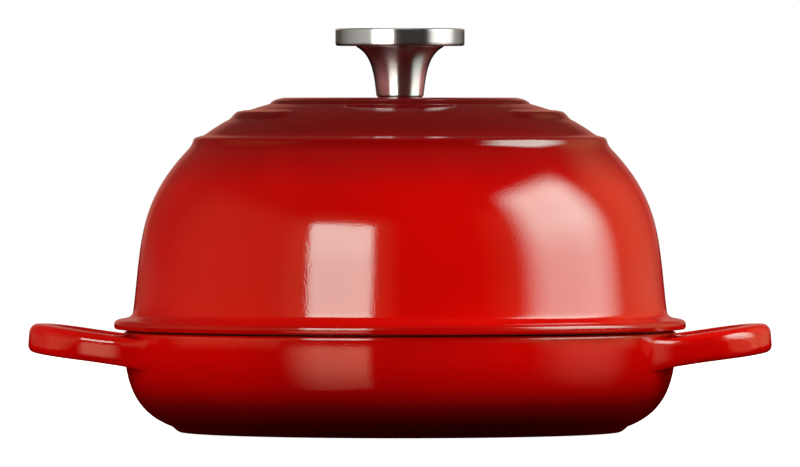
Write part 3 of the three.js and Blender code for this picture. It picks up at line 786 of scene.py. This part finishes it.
def lining_share(tree, place):
    """0 on the red and 1 on the black: the point attribute plus noise, through a steep ramp round 1."""
    wander = add(
        tree, "ShaderNodeTexNoise", {"Vector": place, "Scale": per_metre(WANDER_WIDTH), "Detail": 4.0}
    )
    lining = add(tree, "ShaderNodeAttribute", attribute_name="lining")
    moved = add(
        tree, "ShaderNodeMath", {0: lining.outputs["Fac"], 1: wander.outputs["Fac"]}, operation="ADD"
    )
    black = add(
        tree, "ShaderNodeMapRange", {"Value": moved.outputs["Value"], "From Min": 0.94, "From Max": 1.06}
    )
    return black.outputs["Result"]


def speckled_black(tree, place):
    """The lining's colour: nearly black, with a lighter grain by noise."""
    grain = add(
        tree, "ShaderNodeTexNoise", {"Vector": place, "Scale": per_metre(SPECKLE_WIDTH), "Detail": 2.0}
    )
    speckled = add(
        tree, "ShaderNodeMix", {0: grain.outputs["Fac"], 6: linear("#141312"), 7: linear("#2b2928")},
        data_type="RGBA",
    )
    return speckled.outputs[2]


print("lining speckled every", SPECKLE_WIDTH, "mm")

# %% [markdown]
# ## The skin of the glass
# The glass flows before it sets and leaves a faint orange-peel ripple about a millimetre wide, on a long
# swell. Both are far too low for the mesh and show only where they bend the edge of a reflection, so they
# are bump, and so is the grit of the lining.

# %% Swell, ripple and grit
SWELL_WIDTH, SWELL_HEIGHT = 30.0, 0.14
RIPPLE_WIDTH, RIPPLE_HEIGHT = 0.9, 0.03
GRIT_WIDTH, GRIT_HEIGHT = 0.9, 0.02


def fused_surface(tree, place, black):
    """The normal after three bumps of noise, each on top of the last. The grit's is multiplied by the share
    of black."""
    normal = None
    for width, height, detail, share in (
        (SWELL_WIDTH, SWELL_HEIGHT, 0.0, None),
        (RIPPLE_WIDTH, RIPPLE_HEIGHT, 1.5, None),
        (GRIT_WIDTH, GRIT_HEIGHT, 2.0, black),
    ):
        noise = add(
            tree, "ShaderNodeTexNoise", {"Vector": place, "Scale": per_metre(width), "Detail": detail}
        )
        rise = noise.outputs["Fac"]
        if share:
            rise = add(tree, "ShaderNodeMath", {0: rise, 1: share}, operation="MULTIPLY").outputs["Value"]
        sockets = {"Height": rise, "Distance": height * MM} | ({"Normal": normal} if normal else {})
        normal = add(tree, "ShaderNodeBump", sockets).outputs["Normal"]
    return normal


print("ripple", RIPPLE_HEIGHT, "mm high")

# %% Enamel
ENAMEL_IOR = 1.55
GLOSS, SATIN = 0.05, 0.42
LINING_SHINE = "#ffdbe4"


def enamel(name, stops):
    """Red enamel with its black lining. Fused glass gives sharp reflections. The light that enters it comes
    back from the pigment all round, so the red is even: a rough diffuse base and a little sheen at the
    edges. The lining is satin, and its shine turns the tint of the softboxes back to neutral."""
    material, tree, place = blank_material(name)
    black = lining_share(tree, place)
    colour, shine = (
        add(tree, "ShaderNodeMix", {0: black, 6: outside, 7: inside}, data_type="RGBA").outputs[2]
        for outside, inside in (
            (shaded_red(tree, place, stops), speckled_black(tree, place)),
            (linear("#ffffff"), linear(LINING_SHINE)),
        )
    )
    roughness = add(tree, "ShaderNodeMix", {0: black, 2: GLOSS, 3: SATIN})
    glass = add(
        tree, "ShaderNodeBsdfPrincipled",
        {
            "Base Color": colour,
            "Roughness": roughness.outputs[0],
            "IOR": ENAMEL_IOR,
            "Specular Tint": shine,
            "Diffuse Roughness": 0.7,
            "Sheen Weight": 0.1,
            "Sheen Roughness": 0.5,
            "Sheen Tint": linear("#e01008"),
            "Normal": fused_surface(tree, place, black),
        },
    )
    add(tree, "ShaderNodeOutputMaterial", {"Surface": glass.outputs["BSDF"]})
    print(name, "with", len(stops), "colour stops")
    return material


# Painted shade: the low pan stops darken the pan's underside, and the last lid stops darken the crown and
# the plateau under the knob, on top of the enamel's own darker grading.
pan_enamel = enamel(
    "vitreous_enamel_pan",
    [(0, "#1c0101"), (6, "#330101"), (13, "#640202"), (22, "#aa0302"), (33, "#c20402"), (43, "#cb0502")],
)
lid_enamel = enamel(
    "vitreous_enamel_lid",
    [
        (43, "#b60502"), (48.5, "#b60502"), (51, "#ce0502"), (80, "#cd0502"), (92, "#c80502"),
        (106, "#c30402"), (117, "#a50304"), (126, "#8c0304"), (128, "#780306"), (131, "#680306"),
        (142, "#580306"),
    ],
)
pan_casting.data.materials.append(pan_enamel)
lid_casting.data.materials.append(lid_enamel)

# %% [markdown]
# ## Turned metal
# The knob was turned on a lathe and then polished. Fine rings remain, finer than a pixel, and they are
# drawn here about four times too coarse so that they show: they run round the axis, so the noise is
# stretched along the circle by reading only the distance from the axis and the height. Rings scatter light
# across themselves, so reflections are drawn out along the axis, which the shader's anisotropy gives.

# %% Turned metal
RING_SPACING, RING_COLOUR = 0.5, "#d6d5d3"
SMEAR_WIDTH, SMEAR_LEAST, SMEAR_MOST = 9.0, 0.9, 1.12


def turned_metal(name, colour, roughness, ring_height, stretch=0.0):
    """Metal with faint rings left by turning: noise that reads radius and height only. Its roughness varies
    a little in broad smears, as polishing leaves it."""
    material, tree, place = blank_material(name)
    parts = add(tree, "ShaderNodeSeparateXYZ", {"Vector": place})
    flat = add(tree, "ShaderNodeCombineXYZ", {"X": parts.outputs["X"], "Y": parts.outputs["Y"]})
    radius = add(tree, "ShaderNodeVectorMath", {0: flat.outputs["Vector"]}, operation="LENGTH")
    across = add(tree, "ShaderNodeCombineXYZ", {"X": radius.outputs["Value"], "Y": parts.outputs["Z"]})
    rings = add(
        tree, "ShaderNodeTexNoise",
        {"Vector": across.outputs["Vector"], "Scale": per_metre(RING_SPACING), "Detail": 3.0},
    )
    smears = add(
        tree, "ShaderNodeTexNoise", {"Vector": place, "Scale": per_metre(SMEAR_WIDTH), "Detail": 2.0}
    )
    rough = add(
        tree, "ShaderNodeMapRange",
        {
            "Value": smears.outputs["Fac"],
            "To Min": roughness * SMEAR_LEAST,
            "To Max": roughness * SMEAR_MOST,
        },
    )
    bump = add(tree, "ShaderNodeBump", {"Height": rings.outputs["Fac"], "Distance": ring_height * MM})
    tone = add(
        tree, "ShaderNodeMix",
        {0: rings.outputs["Fac"], 6: linear(colour), 7: linear(RING_COLOUR)}, data_type="RGBA",
    )
    circle = add(tree, "ShaderNodeTangent", direction_type="RADIAL", axis="Z")
    metal = add(
        tree, "ShaderNodeBsdfPrincipled",
        {
            "Base Color": tone.outputs[2],
            "Metallic": 1.0,
            "Roughness": rough.outputs["Result"],
            "Anisotropic": stretch,
            "Anisotropic Rotation": 0.25,
            "Tangent": circle.outputs["Tangent"],
            "Normal": bump.outputs["Normal"],
        },
    )
    add(tree, "ShaderNodeOutputMaterial", {"Surface": metal.outputs["BSDF"]})
    print(name, "roughness about", roughness)
    return material


# %% Steel, zinc and brass
# Stainless steel, turned and polished: bright, with reflections drawn out along the axis.
knob_steel = turned_metal("polished_stainless_steel", "#c4c3c1", 0.25, 0.0003, stretch=0.92)
# Steel with a thin coat of zinc from a plating bath: greyer, with soft reflections.
screw_steel = turned_metal("zinc_plated_steel", "#a9abad", 0.3, 0.002)
# Brass as it came off the lathe: warm yellow, with soft reflections.
insert_brass = turned_metal("turned_brass", "#c9a14e", 0.3, 0.002)

for made, metal in (
    (knob_stem, knob_steel),
    (knob_cap, knob_steel),
    (screw, screw_steel),
    (flat_washer, screw_steel),
    (spring_washer, screw_steel),
):
    made.data.materials.append(metal)
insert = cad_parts["knob_insert"]
insert.data.materials.clear()
insert.data.materials.append(insert_brass)

# %% [markdown]
# ## What moves with what
# The pan stays where it stands. Everything above the rim lifts off with the lid. Each new piece names the
# imported node it stands for and the name of its finish, which nothing here reads. The insert inside the
# stem keeps its imported shape, because nothing shows it.

# %% Bodies, nodes and finishes
STANDS_FOR = [
    (pan_casting, "pan", "base_pan", "red_enamel_pan"),
    (lid_casting, "lid", "lid_dome", "red_enamel_lid"),
    (knob_stem, "lid", "knob_stem", "knob_steel"),
    (knob_cap, "lid", "knob_cap", "knob_steel"),
    (screw, "lid", "knob_screw", "fastener_steel"),
    (flat_washer, "lid", "flat_washer", "fastener_steel"),
    (spring_washer, "lid", "spring_washer", "fastener_steel"),
]
for made, body, node, slot in STANDS_FOR:
    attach(made, body)
    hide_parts(node)
print(len(STANDS_FOR), "pieces ride on their bodies")

# %% [markdown]
# ## The floor
# The floor is a pale light table, a sheet of cast white acrylic lit from below. It glows by itself, so the
# picture's ground stays white and without a shadow. It lies half a millimetre under the foot, because two
# faces in one place flicker.

# %% Floor
FLOOR_SIZE, FLOOR_GAP, CLOUD_WIDTH = 12.0, 0.5, 300.0
floor_corners = np.array([(-1, -1, 0), (1, -1, 0), (1, 1, 0), (-1, 1, 0)]) * FLOOR_SIZE / 2
floor_mesh = bpy.data.meshes.new("floor")
floor_mesh.from_pydata(floor_corners - np.array([0, 0, FLOOR_GAP * MM]), [], [(0, 1, 2, 3)])
floor = bpy.data.objects.new("floor", floor_mesh)
bpy.context.scene.collection.objects.link(floor)

# Cast acrylic scatters light evenly, so its white has only the faintest clouds and no reflections.
sheet, sheet_tree, sheet_place = blank_material("white_acrylic")
clouds = add(sheet_tree, "ShaderNodeTexNoise", {"Vector": sheet_place, "Scale": per_metre(CLOUD_WIDTH)})
white_tone = add(
    sheet_tree, "ShaderNodeMix", {0: clouds.outputs["Fac"], 6: linear("#f4f4f4"), 7: linear("#f8f8f8")},
    data_type="RGBA",
)
acrylic = add(
    sheet_tree, "ShaderNodeBsdfPrincipled",
    {
        "Base Color": white_tone.outputs[2],
        "Roughness": 0.6,
        "Specular IOR Level": 0.0,
        "Emission Color": linear("#ffffff"),
        "Emission Strength": 1.0,
    },
)
add(sheet_tree, "ShaderNodeOutputMaterial", {"Surface": acrylic.outputs["BSDF"]})
floor_mesh.materials.append(sheet)
floor.visible_glossy = False
floor.visible_diffuse = False
floor.visible_shadow = False
print("floor", FLOOR_SIZE, "m")

# %% [markdown]
# ## Softboxes
# Gloss enamel is a dark mirror, and the eye reads its shape from the panels that it shows. So each light is
# an upright rectangle that faces the object, and a few nodes give it soft edges, as cloth gives a softbox.
# A panel that is meant for some pieces only is linked to them.

# %% A softbox
BOX_DISTANCE, BOX_COLOUR = 1.5, "#d7faef"


def softbox(
    name, azimuth, width, bottom, top, radiance,
    soft=(0.01, 0.01, 0.01), rise=(0, 1, 1), colour=BOX_COLOUR, only=None, lean=0.0,
):
    """An upright panel that faces the axis from an azimuth, left negative, seen from the camera. Its power
    is its radiance times pi times its area. Its light fades out over the soft shares of its left, right
    and top edges, and between two shares of its height it rises from a share of the full light. Its left
    edge leans outwards to the top by a share of its width. Where only names some pieces, it lights no
    others."""
    light = bpy.data.lights.new(name, "AREA")
    light.shape = "RECTANGLE"
    light.size, light.size_y = width, top - bottom
    light.energy = radiance * np.pi * width * (top - bottom)
    light.color = linear(colour)[:3]
    light.use_nodes = True
    tree = light.node_tree
    tree.nodes.clear()
    where = add(tree, "ShaderNodeNewGeometry").outputs["Parametric"]
    axes = add(tree, "ShaderNodeSeparateXYZ", {"Vector": where})
    u, v = axes.outputs["X"], axes.outputs["Y"]
    leaning = add(tree, "ShaderNodeMath", {0: v, 1: lean, 2: u}, operation="MULTIPLY_ADD").outputs["Value"]
    share = 1.0
    for value, low, high, least in (
        (leaning, lean, lean + soft[0], 0.0),
        (u, 1.0, 1.0 - soft[1], 0.0),
        (v, 1.0, 1.0 - soft[2], 0.0),
        (v, *rise),
    ):
        fade = add(
            tree, "ShaderNodeMapRange", {0: value, 1: low, 2: high, 3: least, 4: 1.0},
            interpolation_type="SMOOTHSTEP",
        )
        product = add(tree, "ShaderNodeMath", {0: share, 1: fade.outputs["Result"]}, operation="MULTIPLY")
        share = product.outputs["Value"]
    glow = add(tree, "ShaderNodeEmission", {"Color": (1, 1, 1, 1), "Strength": share})
    add(tree, "ShaderNodeOutputLight", {"Surface": glow.outputs["Emission"]})
    panel = bpy.data.objects.new(name, light)
    turn = np.radians(azimuth)
    panel.location = (BOX_DISTANCE * np.sin(turn), -BOX_DISTANCE * np.cos(turn), (bottom + top) / 2)
    panel.rotation_euler = (np.pi / 2, 0, turn)
    panel.visible_camera = False
    bpy.context.scene.collection.objects.link(panel)
    if only:
        lit = bpy.data.collections.new(name + "_lights")
        for made in only:
            lit.objects.link(made)
        panel.light_linking.receiver_collection = lit
    print(name, "gives", round(light.energy), "W")
    return panel


# %% [markdown]
# ## Light for the enamel
# Two tall softboxes stand at the front left and at the right, and the enamel shows them as two bright
# panels. They are tinted, because red enamel nearly fills the camera's red by itself, and plain white panels
# would come out too pink. Each has a dim twin below the table, as the table's polish would show it. Warm
# walls, far dimmer, lift the sides of the dome and of the handles.

# %% Boxes and walls. Each row: azimuth, width, bottom, top, radiance, soft edges
TABLE_COLOUR, WALL_COLOUR = "#ffc4a4", "#ffcb90"
enamelled, pan_alone = (pan_casting, lid_casting), (pan_casting,)
softbox(
    "left_softbox", -26.7, 0.85, 0.2, 0.91, 10.2, (0.081, 0.081, 0.145),
    rise=(0.24, 0.4, 0.85), only=enamelled, lean=0.081,
)
softbox(
    "right_softbox", 80.75, 1.9, 0.18, 1.95, 9.4, (0.294, 0.379, 0.366),
    rise=(0.03, 0.34, 0.62), only=enamelled, lean=0.04,
)
softbox("left_softbox_in_table", -31, 1.05, -1.0, 0.0, 3.0, (0.5, 0.03, 0.01), (0, 1, 0.25), TABLE_COLOUR)
softbox("right_softbox_in_table", 82.5, 1.7, -0.9, 0.0, 0.86, (0.45, 0.45, 0.01), (0.1, 1, 0), TABLE_COLOUR)
for *wall, lit in (
    ("left_wall", -85, 2.8, 0.08, 1.4, 0.29, (0.5, 0.02, 0.5), enamelled),
    ("left_glow", -28, 1.75, 0.25, 1.2, 0.62, (0.4, 0.3, 0.4), enamelled),
    ("right_glow", 47, 0.85, 0.05, 1.4, 0.6, (0.95, 0.02, 0.4), enamelled),
    ("right_wall", 128, 1.9, 0.05, 1.5, 0.6, (0.2, 0.6, 0.4), enamelled),
    ("left_low_wall", -80, 1.8, -0.02, 0.3, 0.45, (0.3, 0.02, 0.1), pan_alone),
    ("right_low_wall", 85, 1.9, -0.02, 0.3, 0.68, (0.2, 0.2, 0.1), pan_alone),
):
    softbox(*wall, colour=WALL_COLOUR, only=lit)

# %% [markdown]
# ## Cards for the steel
# Polished steel shows what stands round it and little else, so it gets white cards of its own, as on a
# photographer's table. The stem stands over red enamel, so its side cards blush.

# %% Cards
CARD_COLOUR, BLUSH_COLOUR = "#fffdfa", "#e18a95"
CARD_BOTTOM, CARD_TOP, CEILING = -0.12, 1.4, 2.0
flat_metal = (knob_cap, screw, flat_washer, spring_washer)
bright_metal = (knob_stem, *flat_metal)
for card in (
    ("left_steel_box", -31.2, 1.06, 0.12, 0.95, 11.0, (0.06, 0.06, 0.2)),
    ("right_steel_box", 82.5, 2.2, 0.15, 1.95, 3.0, (0.4, 0.4, 0.36)),
    ("front_card", 17, 1.6, CARD_BOTTOM, 0.4, 0.05),
    ("high_card", 17, 1.6, 0.8, 1.8, 0.25, (0.2, 0.2, 0.4)),
    ("back_card", 180, 2.6, 0.3, 1.6, 0.55, (0.2, 0.2, 0.4)),
):
    softbox(*card, colour=CARD_COLOUR, only=bright_metal)
for side, azimuth, width, soft, plain, blush in (
    ("left", -95, 3.7, (0.9, 0.02, 0.2), 0.85, 1.5),
    ("right", 105, 3.6, (0.02, 0.5, 0.2), 0.5, 1.3),
):
    for kind, radiance, colour, lit in (
        ("_card", plain, CARD_COLOUR, flat_metal),
        ("_blush", blush, BLUSH_COLOUR, (knob_stem,)),
    ):
        softbox(
            side + kind, azimuth, width, CARD_BOTTOM, CARD_TOP, radiance, soft, colour=colour, only=lit
        )
top_card = softbox(
    "top_card", 0, 2.2, 0.0, 2.2, 0.7, (0.5, 0.4, 0.4), colour=CARD_COLOUR, only=bright_metal
)
top_card.location, top_card.rotation_euler = (0, 0, CEILING), (0, 0, 0)

# %% [markdown]
# ## Soft fill
# Large pale panels all round even out what is left. They are too broad to be worth mirroring, so they
# light the matt part of each finish only.

# %% Fill
fills = [
    softbox(*panel, colour=CARD_COLOUR, only=lit)
    for *panel, lit in (
        ("left_fill", -140, 1.6, 0.0, 1.5, 1.3, None),
        ("right_fill", 75, 2.5, 0.6, 2.2, 1.3, None),
        ("low_fill", 0, 3.0, -0.35, 0.25, 0.78, None),
        ("left_low_fill", -95, 1.5, 0.0, 0.9, 1.6, pan_alone),
        ("right_low_fill", 100, 1.5, 0.0, 0.9, 0.9, pan_alone),
        ("back_fill", 180, 2.0, 0.0, 1.6, 1.2, None),
        ("top_fill", 0, 1.8, 0.0, 1.8, 1.0, None),
    )
]
for panel in fills:
    panel.visible_glossy = False
top_fill = fills[-1]
top_fill.location, top_fill.rotation_euler = (0, 0, CEILING), (0, 0, 0)

# %% [markdown]
# ## The room
# Between the panels the enamel shows the room: nearly black behind the camera and a little to its right,
# warmer at the sides, with a low skyline there. A reddish backdrop straight behind the object draws a thin
# line along its outline. Nothing comes from under the table, and the camera itself sees a white ground.

# %% Room light
DARK_WAY = (0.31, -0.95, 0.0)
ROOM_LEVEL, ROOM_DARK, BACKDROP_LEVEL, SKYLINE_LEVEL = 0.07, 0.012, 0.45, 0.2
ROOM_COLOUR, BACKDROP_COLOUR = "#ffe6c8", "#e89080"

world = bpy.data.worlds.new("studio")
bpy.context.scene.world = world
world.use_nodes = True
room = world.node_tree
room.nodes.clear()
look = add(room, "ShaderNodeTexCoord").outputs["Generated"]
toward = add(room, "ShaderNodeSeparateXYZ", {"Vector": look})
front = add(room, "ShaderNodeVectorMath", {0: look, 1: DARK_WAY}, operation="DOT_PRODUCT")
around = add(
    room, "ShaderNodeMapRange",
    {
        "Value": front.outputs["Value"],
        "From Min": -0.25,
        "From Max": 0.9,
        "To Min": ROOM_LEVEL,
        "To Max": ROOM_DARK,
    },
    interpolation_type="SMOOTHSTEP",
)
sideways = add(room, "ShaderNodeMath", {0: toward.outputs["X"]}, operation="ABSOLUTE")
walls = add(
    room, "ShaderNodeMapRange",
    {"Value": sideways.outputs["Value"], "From Min": 0.2, "From Max": 0.9, "To Max": SKYLINE_LEVEL},
)
low = add(room, "ShaderNodeMapRange", {"Value": toward.outputs["Z"], "From Min": 0.09, "From Max": 0.0})
skyline = add(
    room, "ShaderNodeMath",
    {0: walls.outputs["Result"], 1: low.outputs["Result"], 2: around.outputs["Result"]},
    operation="MULTIPLY_ADD",
)
backdrop = add(
    room, "ShaderNodeMapRange",
    {"Value": toward.outputs["Y"], "From Min": 0.9, "From Max": 0.99, "To Max": BACKDROP_LEVEL},
    interpolation_type="SMOOTHSTEP",
)
above = add(room, "ShaderNodeMapRange", {"Value": toward.outputs["Z"], "From Min": 0.0, "From Max": 0.03})
glows = []
for colour, level in (
    (ROOM_COLOUR, skyline.outputs["Value"]),
    (BACKDROP_COLOUR, backdrop.outputs["Result"]),
):
    level = add(room, "ShaderNodeMath", {0: level, 1: above.outputs["Result"]}, operation="MULTIPLY")
    glow = add(room, "ShaderNodeBackground", {"Color": linear(colour), "Strength": level.outputs["Value"]})
    glows.append(glow.outputs["Background"])
seen = add(room, "ShaderNodeAddShader", dict(enumerate(glows)))
white = add(room, "ShaderNodeBackground", {"Color": linear("#ffffff"), "Strength": 1.0})
path = add(room, "ShaderNodeLightPath")
shown = add(
    room, "ShaderNodeMixShader",
    {0: path.outputs["Is Camera Ray"], 1: seen.outputs["Shader"], 2: white.outputs["Background"]},
)
add(room, "ShaderNodeOutputWorld", {"Surface": shown.outputs["Shader"]})
bpy.context.scene.view_settings.view_transform = "Standard"
print("room light ready")
